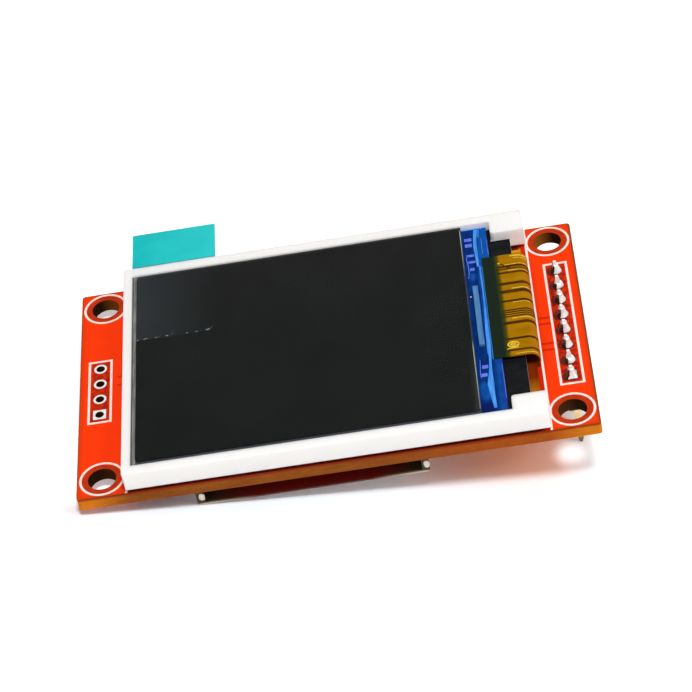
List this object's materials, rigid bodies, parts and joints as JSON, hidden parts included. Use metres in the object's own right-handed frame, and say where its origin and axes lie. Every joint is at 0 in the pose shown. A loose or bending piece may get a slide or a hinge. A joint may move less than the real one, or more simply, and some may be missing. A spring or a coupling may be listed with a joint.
{
  "type": "tft display module",
  "caption": "Small colour screen stuck to a circuit board, with a card socket on the back, a soldered pin header at one end and a row of plated holes at the other.",
  "frame": {"origin": "centre of the rectangle of four mounting holes, on the board's back face", "axes": "+X along the board towards the pin header, +Y across the board towards the pull tab, +Z out of the screen"},
  "size_m": [0.058, 0.0403, 0.0132],
  "materials": {
    "board": "glossy orange-red solder mask over glass-fibre board",
    "ink": "printed white ink",
    "tin": "bright tin over copper",
    "solder": "bright solder",
    "header_plastic": "moulded, fine matt",
    "pin_metal": "thin gold plate, satin",
    "foam": "closed-cell foam tape",
    "frame_plastic": "moulded white, satin",
    "reflector": "pearly white film",
    "guide_plastic": "clear moulded plastic with fine dots",
    "light_film": "frosted film",
    "lamp": "white case with a yellow window",
    "shield": "black adhesive tape",
    "rear_film": "dark polarizing film",
    "lower_glass": "glass with a blue circuit layer",
    "upper_glass": "glass with a dark filter layer",
    "polarizer": "dark glossy polarizing film",
    "silicon": "bare silicon, ground face",
    "flex": "amber cover film over copper lines",
    "clear_film": "clear cling film",
    "tab_film": "teal film, clear where it is stuck to the screen",
    "socket_plastic": "moulded black, fine matt",
    "shell_steel": "nickel-plated sheet, satin",
    "contact_metal": "gold-plated spring strip",
    "moulding": "moulded epoxy",
    "ceramic": "fired brown ceramic",
    "resistor_glaze": "black glaze on alumina"
  },
  "bodies": {
    "root": {"circuit_board": "board", "front_ink": "ink", "back_ink": "ink", "side_pads": "tin", "header_pads": "tin", "flex_pads": "tin", "chip_pads": "tin", "header_housing": "header_plastic", "header_pins": "pin_metal", "header_solder": "solder", "mounting_tape": "foam", "display_frame": "frame_plastic", "reflector_sheet": "reflector", "light_guide": "guide_plastic", "diffuser_sheet": "light_film", "lower_prism_sheet": "light_film", "upper_prism_sheet": "light_film", "backlight_lamps": "lamp", "lamp_strip": "flex", "shield_tape": "shield", "rear_polarizer": "rear_film", "lower_glass": "lower_glass", "upper_glass": "upper_glass", "front_polarizer": "polarizer", "driver_chip": "silicon", "flex_circuit": "flex", "flex_solder": "solder", "protective_film": "clear_film", "pull_tab": "tab_film", "socket_base": "socket_plastic", "socket_shell": "shell_steel", "card_contacts": "contact_metal", "card_switches": "contact_metal", "regulator_body": "moulding", "regulator_leads": "tin", "capacitor_bodies": "ceramic", "resistor_bodies": "resistor_glaze", "chip_terminals": "tin"}
  },
  "joints": []
}
